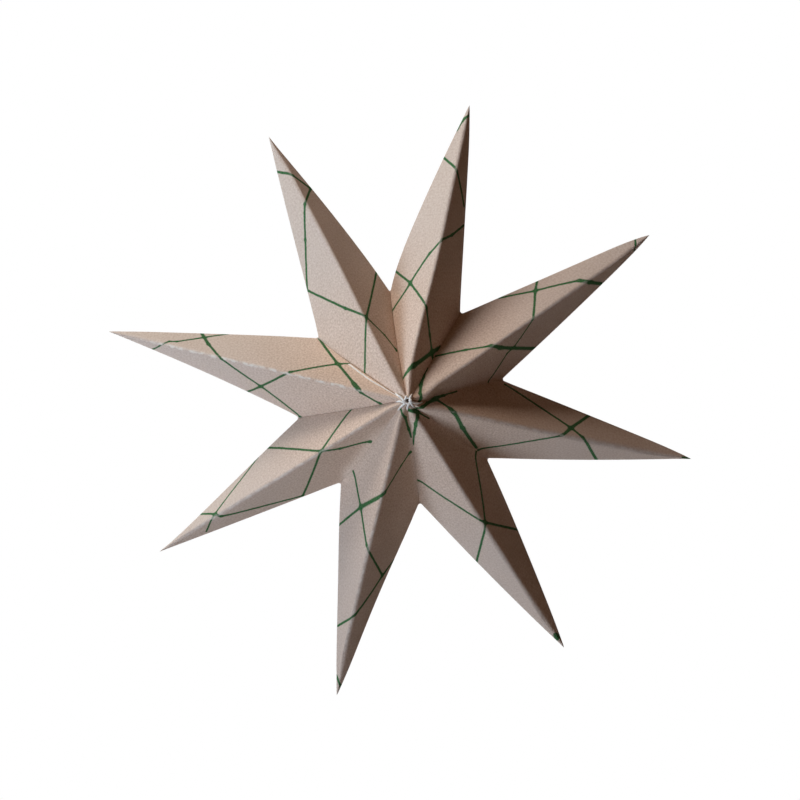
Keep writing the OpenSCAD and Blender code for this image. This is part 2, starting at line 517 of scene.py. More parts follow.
@dataclass
class PaperPoint:
    """One point of the star: a sheet folded to a ridge on each face, with flaps glued in the valleys."""

    number: int
    form: StarForm
    folds: Folds
    work: HandWork
    nose_way: np.ndarray = field(init=False)
    shift: np.ndarray = field(init=False)
    tip: np.ndarray = field(init=False)

    def __post_init__(self) -> None:
        """Works out where the point's corners are."""
        before = self.form.valley_angle(self.number, Side.BEFORE)
        after = self.form.valley_angle(self.number, Side.AFTER)
        self.nose_way = outward((before + after) / 2)
        half_wedge = math.radians(after - before) / 2
        setback = self.form.glue / 2 / math.sin(half_wedge)
        reach = self.form.tip_reach(self.number) - setback
        self.shift = setback * self.nose_way
        self.tip = reach * outward(self.form.tip_angle(self.number)) + self.shift

    def apex(self, face: Face) -> np.ndarray:
        """Where the ridge of a face would meet the star's axis."""
        return face.value * self.form.half_depth * TO_VIEWER + self.shift

    def notch(self, side: Side) -> np.ndarray:
        """The inner corner between this point and its neighbour."""
        return self.form.notch_reach(self.number, side) * self.valley_way(side) + self.shift

    def valley_way(self, side: Side) -> np.ndarray:
        """The direction from the axis along the valley at one side of the point."""
        return outward(self.form.valley_angle(self.number, side))

    def facet_normal(self, face: Face, side: Side) -> np.ndarray:
        """The way that a facet looks.

        Args:
            face: The face of the star.
            side: The side of the ridge.

        Returns:
            Its outward normal.
        """
        to_apex = self.apex(face) - self.tip
        to_notch = self.notch(side) - self.tip
        return unit(np.cross(to_apex, to_notch)) * face.value * side.value

    def notch_share(self, face: Face, side: Side) -> float:
        """How far along the ridge the notch lies, as a share of the ridge."""
        ridge = self.apex(face) - self.tip
        return float((self.notch(side) - self.tip) @ ridge / (ridge @ ridge))

    def rows(self, face: Face) -> np.ndarray:
        """Shares of the ridge at which the sheet has points: close at the tip, the notches and the nose.

        Args:
            face: The face of the star.

        Returns:
            Shares from the tip to the nose.
        """
        notches = [self.notch_share(face, side) for side in Side]
        inner = (self.tip - self.shift) @ self.nose_way
        end = 1 - self.form.nose_radius / inner
        length = np.linalg.norm(self.apex(face) - self.tip)
        step = MM / length
        near_rows = np.concatenate([notch + NOTCH_ROWS * step for notch in notches])
        arm_rows = np.linspace(ARM_START * step, near_rows.min() - NOTCH_GAP * step, ARM_ROWS)
        to_nose = end - near_rows.max()
        hub_rows = end - np.geomspace(to_nose - NOTCH_GAP * step, NOSE_GAP * step, HUB_ROWS)
        return np.unique(np.concatenate([TIP_ROWS * step, arm_rows, near_rows, hub_rows, [end]]))

    def width(self, shares: np.ndarray, face: Face, side: Side) -> np.ndarray:
        """How wide a facet is at each share of its ridge: it grows to the notch, then shrinks to the apex.

        Args:
            shares: Shares of the ridge.
            face: The face of the star.
            side: The side of the ridge.

        Returns:
            Widths across the ridge.
        """
        corner = self.notch_share(face, side)
        ridge = self.apex(face) - self.tip
        widest = np.linalg.norm(self.notch(side) - self.tip - corner * ridge)
        return widest * np.where(shares <= corner, shares / corner, (1 - shares) / (1 - corner))

    def soft_reach(self, radius: float, one: np.ndarray, other: np.ndarray) -> tuple[float, float]:
        """How far a soft fold reaches, and how far it draws the sheet in.

        A round fold of a radius leaves each facet at the radius times the tangent of half the turn.
        A parabola that leaves both facets smoothly there has its crown inside by half the reach times
        the sine of half the turn.

        Args:
            radius: The fold's radius.
            one: The normal on one side of the fold.
            other: The normal on its other side.

        Returns:
            The reach, and the depth as a share of the reach.
        """
        half_turn = math.acos(float(np.clip(one @ other, -1, 1))) / 2
        return radius * math.tan(half_turn), math.sin(half_turn) / 2

    def ripples(self, along: np.ndarray, across: np.ndarray, seed: int) -> np.ndarray:
        """Slow uneven waves of hand-folded paper: the mean of a few sines with seeded turns and lengths.

        Args:
            along: Places along the ridge.
            across: Places across it.
            seed: Picks the waves.

        Returns:
            Heights between about minus one and one.
        """
        draw = np.random.default_rng(seed)
        waves = [
            np.sin(
                along / draw.uniform(*self.folds.ripple_along)
                + across / draw.uniform(*self.folds.ripple_across)
                + draw.uniform(*self.folds.ripple_turn)
            )
            for _ in range(self.folds.ripple_count)
        ]
        return sum(waves) / self.folds.ripple_count

    def lift(
        self, shares: np.ndarray, along: np.ndarray, across: np.ndarray, v: np.ndarray, seed: int
    ) -> np.ndarray:
        """How far its bow and ripples lift a facet: a parabola across it times half a sine along it.

        Args:
            shares: Shares of the ridge.
            along: Places along the ridge.
            across: Places across it.
            v: Shares of the way across the facet.
            seed: Picks the ripples.

        Returns:
            Heights over the flat facet.
        """
        swell = np.sin(math.pi * np.clip(shares, 0, 1))[:, None]
        height = self.folds.bow + self.folds.ripple * self.ripples(along, across, seed)
        return 4 * v * (1 - v) * swell * height

    def worn(self, along: np.ndarray, across: np.ndarray, width: np.ndarray) -> np.ndarray:
        """How worn the sheet is, with a painted highlight along the ridge: it falls off evenly from the
        ridge, and softly at both its ends.

        Args:
            along: Places along the ridge.
            across: Places across it.
            width: The facet's width at each row.

        Returns:
            The wear and painted highlight, from nought to one.
        """
        wear_and_highlight = np.clip(1 - across / self.folds.worn_width, 0, 1) * smooth(width / self.folds.worn_from)
        return wear_and_highlight * smooth((self.folds.worn_to - along) / self.folds.worn_fade)

    def across_places(self, width: np.ndarray, inner: np.ndarray, outer: np.ndarray) -> np.ndarray:
        """Where each row has points: close together at the folds, and even between them.

        Args:
            width: The facet's width at each row.
            inner: How far the ridge's fold reaches.
            outer: How far the edge's fold reaches.

        Returns:
            Distances from the ridge.
        """
        near = FOLD_STEPS[None, :] * inner
        far = width - FOLD_STEPS[None, ::-1] * outer
        even = np.linspace(0, 1, FACET_STEPS + 2)[None, 1:-1]
        middle = near[:, -1:] + even * (far[:, :1] - near[:, -1:])
        return np.concatenate([near, middle, far], axis=1)

    def facet(self, face: Face, side: Side) -> list[Patch]:
        """One facet and the flap beyond it.

        A place is the ridge's own place plus the distance across it. Near a fold the sheet is drawn in
        along the fold's middle normal by a parabola of the distance from the fold. Away from the folds
        a low bow and slow ripples lift it, and at the nose it dips towards the star's middle plane.

        Args:
            face: The face of the star.
            side: The side of the ridge.

        Returns:
            The facet's patch and its flap's patch.
        """
        normal = self.facet_normal(face, side)
        beside = self.facet_normal(face, Side(-side.value))
        behind = self.facet_normal(Face(-face.value), side)
        valley_out = unit(np.cross(self.valley_way(side), TO_VIEWER))
        valley_out = valley_out * math.copysign(1, float(valley_out @ normal))
        shares = self.rows(face)
        ridge = self.apex(face) - self.tip
        length = float(np.linalg.norm(ridge))
        way = ridge / length
        corner = self.notch_share(face, side)
        sideways = unit(self.notch(side) - self.tip - corner * ridge)
        width = self.width(shares, face, side)[:, None]

        # How far the folds reach into the facet. Past the notch its side fold goes over to the valley's.
        valley_radius = self.work.valley_folds[self.form.valley(self.number, side) - 1] * MM
        ridge_radius = self.work.ridge_folds[self.number - 1] * MM
        ridge_reach, ridge_depth = self.soft_reach(ridge_radius, normal, beside)
        side_reach, side_depth = self.soft_reach(self.folds.side, normal, behind)
        valley_reach, valley_depth = self.soft_reach(valley_radius, normal, valley_out)
        past_notch = ((shares - corner) * length)[:, None]
        arm = smooth(-past_notch / self.folds.notch_blend)
        hub = smooth(past_notch / self.folds.notch_blend)
        edge_reach = side_reach + (valley_reach - side_reach) * hub
        inner_reach = np.minimum(ridge_reach, self.folds.ridge_share * width)
        outer_reach = np.minimum(edge_reach, self.folds.edge_share * width)

        across = self.across_places(width, inner_reach, outer_reach)
        along = np.broadcast_to((shares * length)[:, None], across.shape)
        v = across / np.maximum(width, SMALLEST_GAP)
        points = self.tip + along[..., None] * way + across[..., None] * sideways

        # The folds draw the sheet in, and the rounded notch and a soft valley push it out.
        from_ridge = drawn_in(across, inner_reach) * ridge_depth
        from_edge = drawn_in(width - across, outer_reach)
        points = points - from_ridge[..., None] * unit(normal + beside)
        points = points - (from_edge * side_depth * arm)[..., None] * unit(normal + behind)
        points = points - (from_edge * valley_depth * hub)[..., None] * unit(normal + valley_out)
        filled = self.notch_fill(shares, width - across, face, side)
        points = points + filled[..., None] * self.valley_way(side)
        points = points + self.valley_fill(shares, width, across, hub, face, side)

        # Bow, ripples and hand work.
        seed = self.number * FACETS + (face.value + 1) + (side.value + 1) // 2
        points = points + self.lift(shares, along, across, v, seed)[..., None] * normal
        points = points + self.strayed(shares, v, corner, side, unit(normal + behind))
        tip_way = outward(self.form.tip_angle(self.number))
        points = points + self.work.tip_draw(self.number, along)[..., None] * tip_way
        points = self.twisted(self.dipped(points, face), v, side)

        aside = side.value * across + (0 if face is Face.FRONT else BACK_SHIFT)
        sheet = np.stack([aside, along], axis=-1)
        body = Patch(points, sheet, self.worn(along, across, width), face.value * side.value < 0)
        return [body, self.flap(face, side, shares, body)]

    def notch_fill(self, shares: np.ndarray, from_edge: np.ndarray, face: Face, side: Side) -> np.ndarray:
        """How far the sheet is pushed outwards to round off the notch.

        Two edges that meet at a half angle leave a round corner of a radius at the radius over the
        tangent of that half angle, and its bottom lies the radius times (one over the sine, less one)
        out. Both fall off as parabolas of the distance from the notch and from the edge.

        Args:
            shares: Shares of the ridge.
            from_edge: The distance of each place from the facet's outer edge.
            face: The face of the star.
            side: The side of the ridge.

        Returns:
            The distance outwards along the valley for each place.
        """
        corner = self.notch_share(face, side)
        edge = self.tip - self.notch(side)
        inward = self.apex(face) - self.notch(side)
        half = math.acos(float(unit(edge) @ self.valley_way(side)))
        away = np.where(
            shares <= corner,
            np.linalg.norm(edge) * (corner - shares) / corner,
            np.linalg.norm(inward) * (shares - corner) / (1 - corner),
        )[:, None]
        reach = self.folds.notch / math.tan(half)
        rise = self.folds.notch * (1 / math.sin(half) - 1)
        fall = np.clip(1 - away / reach, 0, 1) ** 2
        inside = np.clip(1 - from_edge / (self.folds.notch_spread * reach), 0, 1) ** 2
        return rise * fall * inside

    def valley_turn(self, face: Face, side: Side) -> np.ndarray:
        """The way into the star, square to the valley at one side of the point.

        Args:
            face: The face of the star.
            side: The side of the ridge.

        Returns:
            The direction.
        """
        valley = unit(self.apex(face) - self.notch(side))
        towards = self.shift - self.notch(side)
        return unit(towards - (towards @ valley) * valley)

    def valley_fill(
        self,
        shares: np.ndarray,
        width: np.ndarray,
        across: np.ndarray,
        hub: np.ndarray,
        face: Face,
        side: Side,
    ) -> np.ndarray:
        """How the sheet is lifted where it curves softly through a valley.

        A parabola that leaves both facets smoothly at a reach from the valley passes over its bottom by
        half the reach times the sine of their slope, and its lift falls off as the square of the
        distance. It fades out towards the hub.

        Args:
            shares: Shares of the ridge.
            width: The facet's width at each.
            across: The distance of each place from the ridge.
            hub: How far past the notch each row is, from nought to one.
            face: The face of the star.
            side: The side of the ridge.

        Returns:
            The moves, one for each place.
        """
        valley = self.form.valley(self.number, side)
        number = (self.number - 1 + side.value) % self.form.count + 1
        neighbour = PaperPoint(number, self.form, self.folds, self.work)
        aside = outward(self.form.valley_angle(self.number, side) + 90)
        normals = self.facet_normal(face, side), neighbour.facet_normal(face, Side(-side.value))
        slope = sum(abs(float(normal @ aside)) for normal in normals) / 2
        left = ((1 - shares) * np.linalg.norm(self.apex(face) - self.tip))[:, None]
        reach = np.minimum(self.work.valley_fills[valley - 1] * MM, self.folds.fill_share * width)
        reach = reach * smooth((left - self.folds.fill_start) / self.folds.fill_blend)
        rise = drawn_in(width - across, reach) / 2 * slope * hub
        return -rise[..., None] * self.valley_turn(face, side)

    def flap(self, face: Face, side: Side, shares: np.ndarray, body: Patch) -> Patch:
        """The flap turned in along a valley, cut short at the other face's flap and at the axis.

        A place is the facet's outer point plus a share of the flap's width on the way into the star. The
        room for it is the height over the middle plane, or the distance from the axis, over that way's
        own part in each direction.

        Args:
            face: The face of the star.
            side: The side of the ridge.
            shares: Shares of the ridge at which the facet has rows.
            body: The facet's patch.

        Returns:
            The flap's patch.
        """
        inner = shares >= self.notch_share(face, side) - SMALLEST_GAP
        rim = body.points[inner, -1]
        turn = self.valley_turn(face, side)
        way = self.valley_way(side)
        height = np.abs(rim @ TO_VIEWER)[:, None]
        to_axis = np.maximum(rim @ way - self.form.paper / 2, 0)[:, None]
        room = height / max(abs(float(turn @ TO_VIEWER)), SMALLEST_GAP)
        room = np.minimum(room, to_axis / max(-float(turn @ way), SMALLEST_GAP))
        reach = FLAP_STEPS * np.minimum(room, self.form.flap_width)
        points = rim[:, None, :] + reach[..., None] * turn
        sheet = np.repeat(body.sheet[inner, -1:, :], len(FLAP_STEPS), axis=1)
        sheet[..., 0] += side.value * reach
        return Patch(points, sheet, np.zeros(reach.shape), body.flipped)

    def strayed(
        self, shares: np.ndarray, v: np.ndarray, corner: float, side: Side, edge_way: np.ndarray
    ) -> np.ndarray:
        """How the hand work moves the sheet: edge bows, and drifts of the ridge and of the valley.

        Args:
            shares: Shares of the ridge.
            v: Shares of the way across the facet, from the ridge.
            corner: The notch's share of the ridge.
            side: The side of the ridge.
            edge_way: The way outwards at the side edge.

        Returns:
            The moves, one for each place.
        """
        ridge_way = outward(self.form.tip_angle(self.number) + 90)
        valley_way = outward(self.form.valley_angle(self.number, side) + 90)
        past = (shares - corner) / (1 - corner)
        bow = self.work.bow(self.number, side, shares / corner)[:, None] * v**2
        ridge = self.work.ridge_drift(self.number, shares)[:, None] * (1 - v)
        valley = self.work.valley_drift(self.form.valley(self.number, side), past)[:, None] * v**2
        return bow[..., None] * edge_way + ridge[..., None] * ridge_way + valley[..., None] * valley_way

    def twisted(self, points: np.ndarray, v: np.ndarray, side: Side) -> np.ndarray:
        """Turns the sheet clockwise about the star's axis, as far as the valleys beside it are pulled round.

        Args:
            points: Points of the sheet.
            v: Shares of the way across the facet, from the ridge.
            side: The side of the ridge.

        Returns:
            The points after the turn.
        """
        radius = np.hypot(points[..., 0], points[..., 2])
        here, there = (
            self.work.twist(self.form.valley(self.number, one), radius) for one in (side, Side(-side.value))
        )
        turn = v * here + (1 - v) * (here + there) / 2
        x, y, z = (points[..., i] for i in range(3))
        cosine, sine = np.cos(turn), np.sin(turn)
        return np.stack([x * cosine + z * sine, y, z * cosine - x * sine], axis=-1)

    def dipped(self, points: np.ndarray, face: Face) -> np.ndarray:
        """Draws the sheet towards the star's middle plane near its axis, by a parabola of the radius.

        Args:
            points: Points of the sheet.
            face: The face of the star.

        Returns:
            The points after the dip.
        """
        radius = np.hypot(points[..., 0], points[..., 2])
        fall = self.folds.nose_dip * np.clip(1 - radius / self.folds.nose_reach, 0, 1) ** 2
        return points - (face.value * fall)[..., None] * TO_VIEWER

    def build(self) -> bpy.types.Object:
        """Joins the facets and flaps of both faces to one sheet and gives it its thickness.

        Returns:
            The point's object.
        """
        patches = [patch for face in Face for side in Side for patch in self.facet(face, side)]
        paper = sheet_object(f"paper_point_{self.number}", patches)
        mesh = paper.data
        places = np.empty(len(mesh.vertices) * 3)
        mesh.vertices.foreach_get("co", places)
        away = np.linalg.norm(places.reshape(-1, 3) - self.tip, axis=1)
        wall = paper.vertex_groups.new(name="wall")
        bands = self.folds.wall_bands
        band = np.minimum((away / self.folds.wall_reach * bands).astype(int), bands)
        for step in range(bands + 1):
            wall.add(np.flatnonzero(band == step).tolist(), step / bands, "REPLACE")
        solid = paper.modifiers.new("thickness", "SOLIDIFY")
        solid.thickness = self.form.paper
        solid.offset = -1
        solid.vertex_group = wall.name
        solid.thickness_vertex_group = self.folds.thinnest_wall
        return paper


def sheet_object(name: str, patches: list[Patch]) -> bpy.types.Object:
    """Welds patches to one mesh with a sheet map and an attribute of wear and painted highlight.

    Args:
        name: The object's name.
        patches: The grids to weld.

    Returns:
        The new object, in the scene.
    """
    points = np.concatenate([patch.points.reshape(-1, 3) for patch in patches])
    sheet = np.concatenate([patch.sheet.reshape(-1, 2) for patch in patches])
    wear_and_highlight = np.concatenate([patch.wear_and_highlight.ravel() for patch in patches])
    starts = np.cumsum([0] + [patch.wear_and_highlight.size for patch in patches[:-1]])
    faces = np.concatenate([patch.faces() + start for patch, start in zip(patches, starts)])
    mesh = bpy.data.meshes.new(name)
    mesh.from_pydata(points, [], faces)
    sheet_map = mesh.uv_layers.new(name="sheet")
    sheet_map.data.foreach_set("uv", sheet[faces.ravel()].ravel())
    # Wear and a painted highlight along the ridges.
    worn = mesh.attributes.new("wear_and_highlight", "FLOAT", "POINT")
    worn.data.foreach_set("value", wear_and_highlight)
    weld(mesh)
    mesh.shade_smooth()
    thing = bpy.data.objects.new(name, mesh)
    bpy.context.collection.objects.link(thing)
    return thing


def weld(mesh: bpy.types.Mesh) -> None:
    """Merges points that share a place, so that seams and poles close.

    Args:
        mesh: The mesh to close.
    """
    work = bmesh.new()
    work.from_mesh(mesh)
    bmesh.ops.remove_doubles(work, verts=work.verts, dist=2 * SMALLEST_GAP)
    work.to_mesh(mesh)
    work.free()


def tube(path: np.ndarray, radius: np.ndarray, sides: int) -> np.ndarray:
    """A round profile carried along a path.

    Each ring lies across the path: its two axes are the cross products of the path's direction with
    the way to the viewer, and of the direction with that.

    Args:
        path: Points along the middle.
        radius: The tube's radius at each.
        sides: Points round the tube.

    Returns:
        Rings of points, closed round the tube.
    """
    ahead = np.gradient(path, axis=0)
    ahead /= np.linalg.norm(ahead, axis=1, keepdims=True)
    flat = np.cross(ahead, TO_VIEWER)
    flat /= np.maximum(np.linalg.norm(flat, axis=1, keepdims=True), SMALLEST_GAP)
    rise = np.cross(flat, ahead)
    turn = np.linspace(0, 2 * math.pi, sides + 1)
    ring = np.cos(turn)[None, :, None] * flat[:, None, :] + np.sin(turn)[None, :, None] * rise[:, None, :]
    return path[:, None, :] + radius[:, None, None] * ring


def mapped_tube(points: np.ndarray, along: np.ndarray, wear_and_highlight: float = 0.0) -> Patch:
    """A tube as a patch, mapped once round each ring and by a value for each ring along it.

    Args:
        points: Rings of points.
        along: The map's value at each ring.
        wear_and_highlight: The wear and painted highlight all over it.

    Returns:
        The patch.
    """
    across, down = np.meshgrid(np.linspace(0, 1, points.shape[1]), along)
    return Patch(points, np.stack([across, down], axis=-1), np.full(down.shape, wear_and_highlight), True)


def round_ends(t: np.ndarray, power: int) -> np.ndarray:
    """A tube's thickness from end to end: one along most of it, and closed off at both ends."""
    return np.sqrt(np.clip(1 - np.abs(2 * t - 1) ** power, 0, 1))


def curve(points: np.ndarray, count: int) -> np.ndarray:
    """A smooth path through a few points: a Catmull-Rom spline with its end points doubled.

    Args:
        points: The points to pass.
        count: Points on each stretch.

    Returns:
        Points along the path.
    """
    held = np.concatenate([points[:1], points, points[-1:]])
    t = np.linspace(0, 1, count, endpoint=False)[:, None]
    stretches = [
        0.5 * (2 * b + (c - a) * t + (2 * a - 5 * b + 4 * c - d) * t**2 + (3 * b - a - 3 * c + d) * t**3)
        for a, b, c, d in zip(held[:-3], held[1:-2], held[2:-1], held[3:])
    ]
    return np.concatenate([*stretches, points[-1:]])


# Stops of each strand of thread: degrees clockwise from its valley, and millimetres from the axis.
STRANDS: tuple[tuple[Place, ...], ...] = (
    ((-30, 1.5), (-12, 2.0), (0, 2.4)),
    ((62, 1.5), (27, 1.4), (4, 2.1), (2, 3.0), (2, 4.2)),
    ((40, 1.4), (32, 2.0), (29, 3.5), (25, 5.3), (20, 6.8), (16, 8.0)),
    ((-12, 1.5), (4, 2.4), (8, 3.8), (6, 6.3)),
    ((-45, 1.4), (-24, 1.7), (3, 2.3), (9, 3.6), (7, 5.2)),
    ((-20, 1.3), (2, 1.5), (9, 2.8), (9, 4.7), (6, 7.2)),
    ((-40, 1.4), (-21, 1.9), (0, 2.8), (6, 4.0), (3, 5.8)),
    ((-40, 1.5), (-30, 2.0), (-9, 3.6), (-6, 5.0), (-2, 7.2)),
)


@dataclass
class ThreadTie:
    """The white thread that draws the noses together: a knotted ring, and a strand into each valley.

    Diameters, radii, sink and lift are metres. The ring is a little sunk into the noses. The knot is on
    it at a clockwise turn in degrees, and its half length is a share of its diameter. A strand lies its
    lift over the groove, whose walls climb by the groove's rise. Closer to the axis than ring hold times
    the ring's radius it goes over to the ring's height, and its tucked-in end is thinner by the taper.
    """

    face: Face
    form: StarForm
    folds: Folds
    work: HandWork
    diameter: float = 0.0011
    ring_diameter: float = 0.0009
    ring_radius: float = 0.0014
    ring_points: int = 48
    ring_hold: float = 2.6
    knot_turn: float = 75.0
    knot_diameter: float = 0.0018
    knot_half_length: float = 0.55
    knot_points: int = 17
    sink: float = 0.0002
    lift: float = 0.0009
    groove_rise: float = 1.2
    stretch_points: int = 9
    end_power: int = 9
    taper: float = 0.45
    sides: int = 12

    def dip(self, radius: float) -> float:
        """How far the sheets are drawn in at a radius from the axis."""
        return self.folds.nose_dip * max(0.0, 1 - radius / self.folds.nose_reach) ** 2

    def valley_height(self, number: int, radius: float) -> float:
        """How far from the star's middle plane a valley's bottom lies, at a radius from the axis."""
        fall = radius / self.form.notch_reach(number, Side.AFTER)
        return self.form.half_depth * (1 - fall) - self.dip(radius)

    def ridge_height(self, radius: float) -> float:
        """How far from the star's middle plane the ridges lie, at a radius from the axis."""
        return self.form.half_depth * (1 - radius / self.form.tip_radius) - self.dip(radius)

    def at(self, angle: float, radius: float, height: float) -> np.ndarray:
        """A place given by its clockwise angle, its radius and its height from the middle plane."""
        return radius * outward(angle) + self.face.value * height * TO_VIEWER

    def ring_level(self) -> float:
        """The height of the ring's middle, a little sunk into the noses that it holds."""
        return self.ridge_height(self.ring_radius) + self.ring_diameter / 2 - self.sink

    def strand(self, number: int) -> Patch:
        """One strand: off the ring, then down along the valley, thinner towards its tucked-in end.

        Beside the valley's bottom it rides higher, by the groove's rise times the distance aside, but no
        higher than on the ridges.

        Args:
            number: The point before the valley.

        Returns:
            The strand's patch.
        """
        valley = self.form.valley_angle(number, Side.AFTER)
        stops = []
        for turn, reach in STRANDS[number - 1]:
            radius = reach * MM
            pulled = math.degrees(float(self.work.twist(number, np.array(radius))))
            aside = abs(radius * math.sin(math.radians(turn - pulled)))
            groove = self.valley_height(number, radius) + self.groove_rise * aside
            height = min(groove, self.ridge_height(radius)) + self.lift
            on_ring = float(smooth(np.array(self.ring_hold - radius / self.ring_radius)))
            height = height + on_ring * (self.ring_level() - height)
            stops.append(self.at(valley + turn, radius, height))
        stops[-1] += self.face.value * -2 * self.lift * TO_VIEWER
        path = curve(np.array(stops), self.stretch_points)
        t = np.linspace(0, 1, len(path))
        thickness = self.diameter / 2 * round_ends(t, self.end_power) * (1 - self.taper * t**3)
        length = float(np.linalg.norm(np.diff(path, axis=0), axis=1).sum())
        return mapped_tube(tube(path, thickness, self.sides), t * length / self.diameter)

    def ring(self) -> Patch:
        """The loop that the strands leave: a round profile carried round a circle.

        Returns:
            The ring's patch.
        """
        turn = np.linspace(0, 2 * math.pi, self.ring_points + 1)
        level = self.face.value * self.ring_level() * TO_VIEWER
        path = self.ring_radius * np.stack([np.sin(turn), 0 * turn, np.cos(turn)], axis=-1) + level
        closed = np.concatenate([path[-2:-1], path, path[1:2]])
        points = tube(closed, np.full(len(closed), self.ring_diameter / 2), self.sides)
        return mapped_tube(points[1:-1], turn * self.ring_radius / self.diameter)

    def knot(self) -> Patch:
        """The knot on the ring: a short bead with round ends, along the ring.

        Returns:
            The knot's patch.
        """
        t = np.linspace(-1, 1, self.knot_points)
        middle = self.at(self.knot_turn, self.ring_radius, self.ring_level() + self.sink)
        half = self.knot_half_length * self.knot_diameter
        path = middle + t[:, None] * half * outward(self.knot_turn + 90)
        points = tube(path, self.knot_diameter / 2 * np.sqrt(np.clip(1 - t**2, 0, 1)), self.sides)
        return mapped_tube(points, t)

    def build(self) -> bpy.types.Object:
        """Joins the ring, its knot and its strands.

        Returns:
            The thread's object.
        """
        patches = [self.ring(), self.knot()] + [self.strand(number + 1) for number in range(self.form.count)]
        return sheet_object(f"thread_{self.face.name.lower()}", patches)


# Stops of the bare paper edge at the closing seam: millimetres from the axis, and aside from the valley.
SEAM_EDGE: tuple[Place, ...] = ((4, 0.3), (10.5, 0.7), (14.5, 0.9), (18.5, 1.3), (25, 1.15), (33, 0.9))


@dataclass
class BareEdge:
    """The raw paper edge that shows along the closing seam, beside the valley after the last point.

    Lift and half width are metres. The facet under it climbs from the valley by the rise. At the hub it
    has the inner share of its width, and it widens to all of it over a share of its length.
    """

    form: StarForm
    work: HandWork
    rise: float = 1.2
    lift: float = 0.0003
    half_width: float = 0.0005
    inner_share: float = 0.4
    widens_from: float = 0.1
    widens_over: float = 0.35
    end_power: int = 15
    rings: int = 60
    sides: int = 8

    def build(self) -> bpy.types.Object:
        """A thin bead beside the drifted valley, narrower towards the middle of the star.

        It lies on the facet, which climbs from the valley by the rise times the distance aside.

        Returns:
            The edge's object.
        """
        valley = self.form.count
        angle = self.form.valley_angle(valley, Side.AFTER)
        notch = self.form.notch_reach(valley, Side.AFTER)
        stops = np.array(SEAM_EDGE) * MM
        t = np.linspace(0, 1, self.rings)
        radius = stops[0, 0] + (stops[-1, 0] - stops[0, 0]) * t
        aside = np.interp(radius, stops[:, 0], stops[:, 1])
        drift = self.work.valley_drift(valley, 1 - radius / notch) - aside
        height = self.form.half_depth * (1 - radius / notch) + self.rise * aside + self.lift
        path = radius[:, None] * outward(angle) + drift[:, None] * outward(angle + 90)
        path = path + height[:, None] * TO_VIEWER
        widening = smooth((t - self.widens_from) / self.widens_over)
        swell = self.inner_share + (1 - self.inner_share) * widening
        points = tube(path, self.half_width * round_ends(t, self.end_power) * swell, self.sides)
        return sheet_object("bare_seam_edge", [mapped_tube(points, t, 1.0)])


@dataclass(frozen=True)
class Touch:
    """How rough a surface is, how much it mirrors, and its relief's strength and millimetres of height."""

    roughness: float
    mirror: float
    strength: float
    height: float

    def end(
        self, tree: bpy.types.NodeTree, colour: bpy.types.NodeSocket, relief: bpy.types.NodeSocket
    ) -> None:
        """Ends a material with its relief, its shader and its output.

        Args:
            tree: The material's node tree.
            colour: Its colour.
            relief: Its relief, from nought to one.
        """
        depth = {"Strength": self.strength, "Distance": self.height * MM}
        bump = add_node(tree, "ShaderNodeBump", {"Height": relief, **depth})
        shader = add_node(
            tree,
            "ShaderNodeBsdfPrincipled",
            {
                "Base Color": colour,
                "Roughness": self.roughness,
                "Specular IOR Level": self.mirror,
                "Normal": bump.outputs["Normal"],
            },
        )
        add_node(tree, "ShaderNodeOutputMaterial", {"Surface": shader.outputs["BSDF"]})


